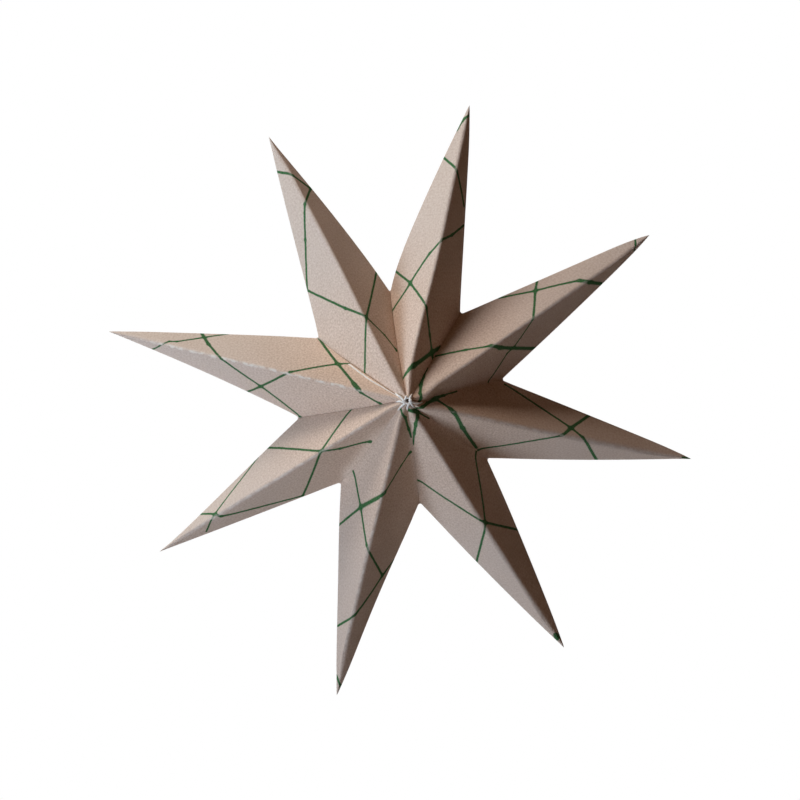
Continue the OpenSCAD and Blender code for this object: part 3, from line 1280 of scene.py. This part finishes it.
@dataclass(frozen=True)
class PaperFinish:
    """Handmade paper with a fine grain, drawn on with green ink, worn pale along its folds and with a
    painted highlight along its ridges.

    Grain, cloud and tremble are the sizes, in millimetres, of the paper's specks, of its slow clouds and
    of the shaking of the hand that drew the lines, and wander is how far that moves them. The specks are
    coarser than real fibres, so that they show. Along the ridge the tip's tones go over to the hub's,
    which carry a painted warm shade, from painted shade from to painted shade to, in millimetres. Spreads
    and pairs are the limits of a pattern's contrast.
    """

    tip_light: str = "#E6D8CF"
    tip_dark: str = "#CEBCB0"
    # Tones at the hub, and where along the ridge they take over, carry a painted warm shade.
    hub_light_painted_shade: str = "#F3E0D3"
    hub_dark_painted_shade: str = "#C8AF9D"
    painted_shade_from: float = 55.0
    painted_shade_to: float = 120.0
    # Pale of worn folds, and of the painted highlight along the ridges.
    worn: str = "#FBF6F0"
    ink: str = "#256838"
    bare_light: str = "#FFFFFF"
    bare_dark: str = "#F0EBE6"
    detail: float = 2.0
    grain: float = 1.0
    grain_roughness: float = 0.6
    grain_spread: float = 0.18
    grain_share: float = 0.75
    cloud: float = 14.0
    tremble: float = 3.5
    wander: float = 0.1
    noise_gain: float = 4.0
    edge_power: float = 3.0
    soft: float = 0.28
    ink_spread: float = 0.25
    thinnest_ink: float = 0.88
    streaks: Place = (0.38, 0.58)
    rubbing_and_highlight: Place = (0.2, 0.8)
    touch: Touch = Touch(0.9, 0.02, 0.5, 0.25)
    bare_touch: Touch = Touch(0.9, 0.15, 0.3, 0.1)

    def stroke_group(self) -> bpy.types.NodeTree:
        """A node group that gives the wetness of one straight stroke.

        The place less the start is taken along the span, held between its ends, and what is left over is
        the distance. The wetness is one over one plus the edge power of that distance over half the
        width, so it is a half at the stroke's edge, and strokes that meet swell when it is added up.

        Returns:
            The group.
        """
        group = bpy.data.node_groups.new("ink stroke", "ShaderNodeTree")
        for name, kind in (("Place", "Vector"), ("Start", "Vector"), ("Span", "Vector"), ("Half", "Float")):
            group.interface.new_socket(name=name, in_out="INPUT", socket_type=f"NodeSocket{kind}")
        group.interface.new_socket(name="Ink", in_out="OUTPUT", socket_type="NodeSocketFloat")
        given = add_node(group, "NodeGroupInput").outputs
        away = add_node(
            group, "ShaderNodeVectorMath", {0: given["Place"], 1: given["Start"]}, operation="SUBTRACT"
        ).outputs["Vector"]
        dot = add_node(group, "ShaderNodeVectorMath", {0: away, 1: given["Span"]}, operation="DOT_PRODUCT")
        square = add_node(
            group, "ShaderNodeVectorMath", {0: given["Span"], 1: given["Span"]}, operation="DOT_PRODUCT"
        )
        share = add_node(
            group,
            "ShaderNodeMath",
            {0: dot.outputs["Value"], 1: square.outputs["Value"]},
            operation="DIVIDE",
            use_clamp=True,
        )
        foot = add_node(
            group, "ShaderNodeVectorMath", {0: given["Span"], "Scale": share.outputs[0]}, operation="SCALE"
        )
        gap = add_node(
            group, "ShaderNodeVectorMath", {0: away, 1: foot.outputs["Vector"]}, operation="DISTANCE"
        )
        share = add_node(
            group, "ShaderNodeMath", {0: gap.outputs["Value"], 1: given["Half"]}, operation="DIVIDE"
        )
        steep = add_node(
            group, "ShaderNodeMath", {0: share.outputs[0], 1: self.edge_power}, operation="POWER"
        )
        over = add_node(group, "ShaderNodeMath", {0: steep.outputs[0], 1: 1.0}, operation="ADD")
        ink = add_node(group, "ShaderNodeMath", {0: 1.0, 1: over.outputs[0]}, operation="DIVIDE")
        add_node(group, "NodeGroupOutput", {"Ink": ink.outputs[0]})
        return group

    def material(
        self,
        name: str,
        group: bpy.types.NodeTree,
        front: tuple[Line, ...],
        back: tuple[Line, ...],
        wear_and_highlight: float,
        tone: float,
    ) -> bpy.types.Material:
        """Paper with its drawn lines.

        Args:
            name: The material's name.
            group: The node group of one stroke.
            front: The lines on the front.
            back: The lines on the back.
            wear_and_highlight: How worn the folds are and how strong their painted highlight is, from nought
                to one.
            tone: How light this sheet is against the mean.

        Returns:
            The material.
        """
        # Handmade paper, felted from fibres and dried on a screen: matt, mottled and a little cloudy, with
        # ink that sinks in and folds that are rubbed pale. Along the ridges a painted highlight adds to the
        # wear, and towards the hub the paper carries a painted warm shade.
        material, tree = new_material(name)
        sheet = add_node(tree, "ShaderNodeUVMap", uv_map="sheet").outputs["UV"]
        place = add_node(
            tree, "ShaderNodeVectorMath", {0: sheet, "Scale": 1 / MM}, operation="SCALE"
        ).outputs["Vector"]
        noise = {"Vector": place, "Detail": self.detail}
        speckle = {"Scale": 1 / self.grain, "Roughness": self.grain_roughness}
        grain = add_node(tree, "ShaderNodeTexNoise", {**noise, **speckle}).outputs["Fac"]
        cloud = add_node(tree, "ShaderNodeTexNoise", {**noise, "Scale": 1 / self.cloud}).outputs["Fac"]
        hand = add_node(tree, "ShaderNodeTexNoise", {**noise, "Scale": 1 / self.tremble}).outputs
        base = self.mottled(tree, place, grain, cloud, tone)
        drawn = self.wandered(tree, place, hand["Color"])
        inked = self.inked(tree, self.wetness(tree, group, drawn, front, back), grain)
        rubbed_and_highlit = self.rubbed_and_highlit(tree, hand["Fac"], wear_and_highlight)
        # Ink, then the pale of wear and of the painted highlight along the ridges.
        colour = base
        for share, over in ((inked, self.ink), (rubbed_and_highlit, self.worn)):
            colour = add_node(
                tree, "ShaderNodeMix", {0: share, 6: colour, 7: linear(over)}, data_type="RGBA"
            ).outputs[2]
        self.touch.end(tree, colour, grain)
        return material

    def wandered(
        self, tree: bpy.types.NodeTree, place: bpy.types.NodeSocket, noise: bpy.types.NodeSocket
    ) -> bpy.types.NodeSocket:
        """The place on the sheet, moved a little by the shaking of the hand.

        The noise less a half is scaled up by its gain, because it seldom leaves the middle of its range.

        Args:
            tree: The material's node tree.
            place: The place on the sheet.
            noise: A noise of three values.

        Returns:
            The moved place.
        """
        centred = add_node(
            tree, "ShaderNodeVectorMath", {0: noise, 1: (0.5, 0.5, 0.5)}, operation="SUBTRACT"
        ).outputs["Vector"]
        size = self.noise_gain * self.wander
        drift = add_node(
            tree, "ShaderNodeVectorMath", {0: centred, 1: (size, size, 0.0)}, operation="MULTIPLY"
        ).outputs["Vector"]
        return add_node(
            tree, "ShaderNodeVectorMath", {0: place, 1: drift}, operation="ADD"
        ).outputs["Vector"]

    def wetness(
        self,
        tree: bpy.types.NodeTree,
        group: bpy.types.NodeTree,
        drawn: bpy.types.NodeSocket,
        front: tuple[Line, ...],
        back: tuple[Line, ...],
    ) -> bpy.types.NodeSocket:
        """The wetness of all strokes of all lines, added up.

        Args:
            tree: The material's node tree.
            group: The node group of one stroke.
            drawn: The place that the hand reached.
            front: The lines on the front.
            back: The lines on the back.

        Returns:
            The sum.
        """
        total: bpy.types.NodeSocket | float = 0.0
        for shift, drawing in ((0.0, front), (BACK_SHIFT / MM, back)):
            for line in drawing:
                for (a0, b0), (a1, b1) in zip(line.places, line.places[1:]):
                    ends = {"Start": (b0 + shift, a0, 0), "Span": (b1 - b0, a1 - a0, 0)}
                    given = {"Place": drawn, **ends, "Half": line.width / 2}
                    stroke = add_node(tree, "ShaderNodeGroup", given, node_tree=group).outputs["Ink"]
                    both = {0: total, 1: stroke}
                    total = add_node(tree, "ShaderNodeMath", both, operation="ADD").outputs[0]
        return total

    def inked(
        self, tree: bpy.types.NodeTree, wetness: bpy.types.NodeSocket, grain: bpy.types.NodeSocket
    ) -> bpy.types.NodeSocket:
        """How much ink covers the paper: a soft step where the wetness is a half, thinner on some specks.

        Args:
            tree: The material's node tree.
            wetness: The strokes' wetness.
            grain: The paper's specks.

        Returns:
            The share of ink.
        """
        ink = add_node(
            tree,
            "ShaderNodeMapRange",
            {"Value": wetness, "From Min": 0.5 - self.soft, "From Max": 0.5 + self.soft},
            interpolation_type="SMOOTHSTEP",
        ).outputs["Result"]
        limits = {"From Min": 0.5 - self.ink_spread, "From Max": 0.5 + self.ink_spread}
        thinned = add_node(
            tree, "ShaderNodeMapRange", {"Value": grain, **limits, "To Min": self.thinnest_ink}
        ).outputs["Result"]
        return add_node(tree, "ShaderNodeMath", {0: ink, 1: thinned}, operation="MULTIPLY").outputs[0]

    def mottled(
        self,
        tree: bpy.types.NodeTree,
        place: bpy.types.NodeSocket,
        grain: bpy.types.NodeSocket,
        cloud: bpy.types.NodeSocket,
        tone: float,
    ) -> bpy.types.NodeSocket:
        """The bare paper's colour: light and dark tones mixed by its specks and clouds, with a painted warm
        shade at the hub.

        Args:
            tree: The material's node tree.
            place: The place on the sheet.
            grain: The paper's specks.
            cloud: Its slow clouds.
            tone: How light this sheet is against the mean.

        Returns:
            The colour.
        """
        limits = {"From Min": 0.5 - self.grain_spread, "From Max": 0.5 + self.grain_spread}
        specks = add_node(tree, "ShaderNodeMapRange", {"Value": grain, **limits}).outputs["Result"]
        mottle = add_node(tree, "ShaderNodeMix", {0: self.grain_share, 2: cloud, 3: specks}).outputs[0]
        along = add_node(tree, "ShaderNodeSeparateXYZ", {"Vector": place}).outputs["Y"]
        # Painted warm shade: the tones turn warmer along the ridge towards the hub, and the dark tone
        # darker.
        painted_shade = add_node(
            tree,
            "ShaderNodeMapRange",
            {"Value": along, "From Min": self.painted_shade_from, "From Max": self.painted_shade_to},
            interpolation_type="SMOOTHSTEP",
        ).outputs["Result"]
        light, dark = (
            add_node(
                tree,
                "ShaderNodeMix",
                {0: painted_shade, 6: linear(tip, tone), 7: linear(hub, tone)},
                data_type="RGBA",
            ).outputs[2]
            for tip, hub in ((self.tip_light, self.hub_light_painted_shade), (self.tip_dark, self.hub_dark_painted_shade))
        )
        return add_node(tree, "ShaderNodeMix", {0: mottle, 6: light, 7: dark}, data_type="RGBA").outputs[2]

    def rubbed_and_highlit(
        self, tree: bpy.types.NodeTree, noise: bpy.types.NodeSocket, wear_and_highlight: float
    ) -> bpy.types.NodeSocket:
        """How far the folds are rubbed pale or painted with a highlight: the sheet's wear and painted
        highlight, broken up into streaks.

        Args:
            tree: The material's node tree.
            noise: A noise that gives the streaks.
            wear_and_highlight: How worn this sheet is and how strong its painted highlight is, from nought
                to one.

        Returns:
            The share of pale fibres and painted highlight.
        """
        fold = add_node(tree, "ShaderNodeAttribute", attribute_name="wear_and_highlight").outputs["Fac"]
        low, high = self.streaks
        streaks = add_node(
            tree, "ShaderNodeMapRange", {"Value": noise, "From Min": low, "From Max": high}
        ).outputs["Result"]
        rubbed_and_highlit = add_node(tree, "ShaderNodeMath", {0: fold, 1: streaks}, operation="MULTIPLY").outputs[0]
        low, high = self.rubbing_and_highlight
        return add_node(
            tree, "ShaderNodeMapRange", {"Value": rubbed_and_highlit, "From Min": low, "From Max": high, "To Max": wear_and_highlight}
        ).outputs["Result"]

    def bare(self) -> bpy.types.Material:
        """Undrawn paper at a raw edge.

        Returns:
            The material.
        """
        # The same paper at its raw edge: white, with paler and darker fibres, rough to the touch.
        material, tree = new_material("bare paper edge")
        where = add_node(tree, "ShaderNodeTexCoord").outputs["Object"]
        scale = 1 / (self.grain * MM)
        fibres = add_node(
            tree, "ShaderNodeTexNoise", {"Vector": where, "Scale": scale, "Detail": self.detail}
        ).outputs["Fac"]
        colour = add_node(
            tree,
            "ShaderNodeMix",
            {0: fibres, 6: linear(self.bare_light), 7: linear(self.bare_dark)},
            data_type="RGBA",
        ).outputs[2]
        self.bare_touch.end(tree, colour, fibres)
        return material


# Length of one wave of the wave texture at a scale of one.
WAVE_LENGTH = math.pi / 10


@dataclass(frozen=True)
class ThreadFinish:
    """White cotton thread, its plies twisted to a fine rib of so many millimetres that slants by degrees."""

    light: str = "#FFFFFF"
    dark: str = "#F1F1EE"
    rib: float = 0.314
    slant: float = 35.0
    unevenness: float = 0.6
    touch: Touch = Touch(0.85, 0.5, 0.3, 0.05)

    def material(self, diameter: float) -> bpy.types.Material:
        """Cotton thread.

        Args:
            diameter: The thread's diameter, which is a length of one on its map.

        Returns:
            The material.
        """
        # Twisted cotton: white and matt, with a soft shadow between its plies.
        material, tree = new_material("twisted cotton thread")
        sheet = add_node(tree, "ShaderNodeUVMap", uv_map="sheet").outputs["UV"]
        slant = add_node(
            tree, "ShaderNodeMapping", {"Vector": sheet, "Rotation": (0, 0, math.radians(self.slant))}
        ).outputs["Vector"]
        scale = WAVE_LENGTH * diameter / (self.rib * MM)
        rib = add_node(
            tree, "ShaderNodeTexWave", {"Vector": slant, "Scale": scale, "Distortion": self.unevenness}
        ).outputs["Fac"]
        colour = add_node(
            tree, "ShaderNodeMix", {0: rib, 6: linear(self.dark), 7: linear(self.light)}, data_type="RGBA"
        ).outputs[2]
        self.touch.end(tree, colour, rib)
        return material


@dataclass
class Stage:
    """The floor, the lamps, the surroundings and the camera.

    The scale is how many pixels of the picture an even tip's reach takes, and the centre is where the
    star's middle lies in it. The camera is rolled by degrees, and stands a few degrees to the left of
    straight ahead and above it, in the picture's own directions. Other lengths are metres, but for the
    sensor's millimetres.
    """

    distance: float = 1.0
    scale: float = 298.0
    centre: Place = (402.5, 398.5)
    roll: float = 12.8
    left: float = 3.7
    above: float = 1.7
    sensor: float = 36.0
    fill: tuple[float, float, float] = (0.062, 0.033, 0.018)
    floor_level: float = -0.45
    floor_reach: float = 0.7
    floor_rings: int = 12
    floor_spokes: int = 64
    floor_colour: str = "#E9E7E4"
    floor_fade: Place = (0.2, 0.55)
    least_white: float = 0.6

    def axes(self) -> np.ndarray:
        """The picture's right, up and towards-the-viewer directions in the star's frame.

        Returns:
            Three rows, one for each direction.
        """
        roll, left, above = (math.radians(v) for v in (-self.roll, self.left, self.above))
        cosine, sine = math.cos(roll), math.sin(roll)
        turn = np.array([[cosine, -sine, 0], [sine, cosine, 0], [0, 0, 1]])
        cosine, sine = math.cos(above), math.sin(above)
        tip = np.array([[1, 0, 0], [0, cosine, -sine], [0, sine, cosine]])
        cosine, sine = math.cos(left), math.sin(left)
        swing = np.array([[cosine, 0, sine], [0, 1, 0], [-sine, 0, cosine]])
        upright = np.array([[1, 0, 0], [0, 0, 1], [0, -1, 0]])
        return swing @ tip @ turn @ upright

    def place(self, right: float, up: float, near: float) -> np.ndarray:
        """A place given along the picture's own directions, from the star's middle."""
        return np.array([right, up, near]) @ self.axes()

    def camera(self, form: StarForm) -> None:
        """Sets up the camera at the photograph's angle.

        Args:
            form: The star's sizes.
        """
        data = bpy.data.cameras.new("camera")
        data.sensor_width = self.sensor
        pixels_a_metre = self.scale / form.tip_radius
        data.lens = pixels_a_metre * self.distance * self.sensor / PICTURE_SIDE
        data.clip_start = 0.01
        thing = bpy.data.objects.new("camera", data)
        bpy.context.collection.objects.link(thing)
        aside = (PICTURE_SIDE / 2 - self.centre[0]) / pixels_a_metre
        aloft = (self.centre[1] - PICTURE_SIDE / 2) / pixels_a_metre
        matrix = Matrix(self.axes().T.tolist()).to_4x4()
        matrix.translation = Vector(self.place(aside, aloft, self.distance))
        thing.matrix_world = matrix
        bpy.context.scene.camera = thing

    def toward(self, around: float, near: float, reach: float = 0.9) -> np.ndarray:
        """A lamp's place: degrees from the picture's right towards its top, then out of the picture.

        Args:
            around: The turn in the picture.
            near: The turn out of it.
            reach: How far away the lamp is.

        Returns:
            The place.
        """
        turn, rise = math.radians(around), math.radians(near)
        flat = reach * math.cos(rise)
        return self.place(flat * math.cos(turn), flat * math.sin(turn), reach * math.sin(rise))

    def lamp(self, name: str, place: np.ndarray, size: float, power: tuple[float, float, float]) -> None:
        """Adds a square soft lamp that looks at the star.

        Args:
            name: The lamp's name.
            place: Where it stands.
            size: Its side.
            power: Its power in watts in red, green and blue.
        """
        data = bpy.data.lights.new(name, "AREA")
        data.size = size
        data.energy = max(power)
        data.color = [share / max(power) for share in power]
        thing = bpy.data.objects.new(name, data)
        bpy.context.collection.objects.link(thing)
        thing.location = Vector(place)
        thing.rotation_euler = (-Vector(place)).to_track_quat("-Z", "Y").to_euler()

    def lamps(self) -> None:
        """Soft lamps: a key from the lower left, and a warm one and a weak low one from above left.

        A weak warm one is below, and one behind is for the star's back.
        """
        self.lamp("key", self.toward(208, 35), 0.35, (4.9, 5.8, 6.8))
        self.lamp("warm", self.toward(120, 15), 0.35, (4.0, 3.3, 2.8))
        self.lamp("low", self.toward(135, 5, 0.5), 0.3, (0.42, 0.64, 0.70))
        self.lamp("below", self.toward(265, 10), 0.4, (0.7, 0.4, 0.2))
        self.lamp("behind", self.toward(60, -75), 0.6, (4.2, 4.3, 4.5))

    def surroundings(self) -> None:
        """White where the camera looks past the star, and a weak warm light on the star itself."""
        world = bpy.data.worlds.new("surroundings")
        bpy.context.scene.world = world
        world.use_nodes = True
        tree = world.node_tree
        tree.nodes.clear()
        seen = self.seen(tree)
        fill = add_node(tree, "ShaderNodeBackground", {"Color": (*self.fill, 1), "Strength": 1.0})
        white = add_node(tree, "ShaderNodeBackground", {"Color": (1, 1, 1, 1), "Strength": 1.0})
        mix = add_node(
            tree, "ShaderNodeMixShader", {0: seen, 1: fill.outputs[0], 2: white.outputs[0]}
        )
        add_node(tree, "ShaderNodeOutputWorld", {"Surface": mix.outputs[0]})

    def seen(self, tree: bpy.types.NodeTree) -> bpy.types.NodeSocket:
        """One for rays that show the background, straight or in a gloss.

        Args:
            tree: The node tree that asks.

        Returns:
            The socket that says so.
        """
        path = add_node(tree, "ShaderNodeLightPath").outputs
        gloss = add_node(
            tree,
            "ShaderNodeMath",
            {0: path["Is Glossy Ray"], 1: path["Is Transmission Ray"]},
            operation="MAXIMUM",
        )
        return add_node(
            tree, "ShaderNodeMath", {0: path["Is Camera Ray"], 1: gloss.outputs[0]}, operation="MAXIMUM"
        ).outputs[0]

    def floor(self) -> bpy.types.Object:
        """A pale round floor that fades to white at its rim and keeps the star's shadow.

        Returns:
            The floor's object.
        """
        radius = np.linspace(0, self.floor_reach, self.floor_rings + 1)[:, None]
        turn = np.linspace(0, 2 * math.pi, self.floor_spokes + 1)[None, :]
        x, y = radius * np.cos(turn), radius * np.sin(turn)
        points = np.stack([x, y, np.full(x.shape, self.floor_level)], axis=-1)
        plain = Patch(points, points[..., :2], np.zeros(points.shape[:2]))
        thing = sheet_object("floor", [plain])
        # Painted card: pale, matt and even.
        material, tree = new_material("pale matt floor")
        where = add_node(tree, "ShaderNodeTexCoord").outputs["Object"]
        spread = add_node(
            tree, "ShaderNodeVectorMath", {0: where, 1: (1, 1, 0)}, operation="MULTIPLY"
        ).outputs["Vector"]
        far = add_node(tree, "ShaderNodeVectorMath", {0: spread}, operation="LENGTH").outputs["Value"]
        low, high = self.floor_fade
        fade = add_node(
            tree,
            "ShaderNodeMapRange",
            {"Value": far, "From Min": low, "From Max": high, "To Min": self.least_white},
            interpolation_type="SMOOTHSTEP",
        ).outputs["Result"]
        clear = add_node(
            tree, "ShaderNodeMath", {0: fade, 1: self.seen(tree)}, operation="MULTIPLY"
        ).outputs[0]
        matt = add_node(tree, "ShaderNodeBsdfDiffuse", {"Color": linear(self.floor_colour)})
        white = add_node(tree, "ShaderNodeEmission", {"Color": (1, 1, 1, 1), "Strength": 1.0})
        mix = add_node(tree, "ShaderNodeMixShader", {0: clear, 1: matt.outputs[0], 2: white.outputs[0]})
        add_node(tree, "ShaderNodeOutputMaterial", {"Surface": mix.outputs[0]})
        thing.data.materials.append(material)
        return thing


def main() -> None:
    """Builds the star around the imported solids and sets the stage."""
    logging.basicConfig(level=logging.INFO, format="%(name)s: %(message)s")
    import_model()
    form, folds, work = StarForm(), Folds(), HandWork()

    finish = PaperFinish()
    group = finish.stroke_group()
    for number in range(1, form.count + 1):
        point = PaperPoint(number, form, folds, work).build()
        lines = LATTICE[number - 1]
        behind = tuple(line.mirrored() for line in LATTICE[(number - 1 + BACK_STEP) % form.count])
        wear_and_highlight, tone = work.wear_and_highlight[number - 1], work.tones[number - 1]
        paper = finish.material(f"printed paper {number}", group, lines, behind, wear_and_highlight, tone)
        point.data.materials.append(paper)
        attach(point, "root")
        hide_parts(f"point_{number}")
        LOG.info("%s has %d faces", point.name, len(point.data.polygons))

    edge = BareEdge(form, work).build()
    edge.data.materials.append(finish.bare())
    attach(edge, "root")
    LOG.info("%s has %d faces", edge.name, len(edge.data.polygons))

    cotton = ThreadFinish().material(ThreadTie.diameter)
    for face in Face:
        tie = ThreadTie(face, form, folds, work).build()
        tie.data.materials.append(cotton)
        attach(tie, "root")
        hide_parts(f"{face.name.lower()}_thread")
        LOG.info("%s has %d faces", tie.name, len(tie.data.polygons))

    stage = Stage()
    stage.floor()
    stage.camera(form)
    stage.lamps()
    stage.surroundings()
    bpy.context.scene.view_settings.view_transform = "Standard"


if __name__ == "__main__":
    main()
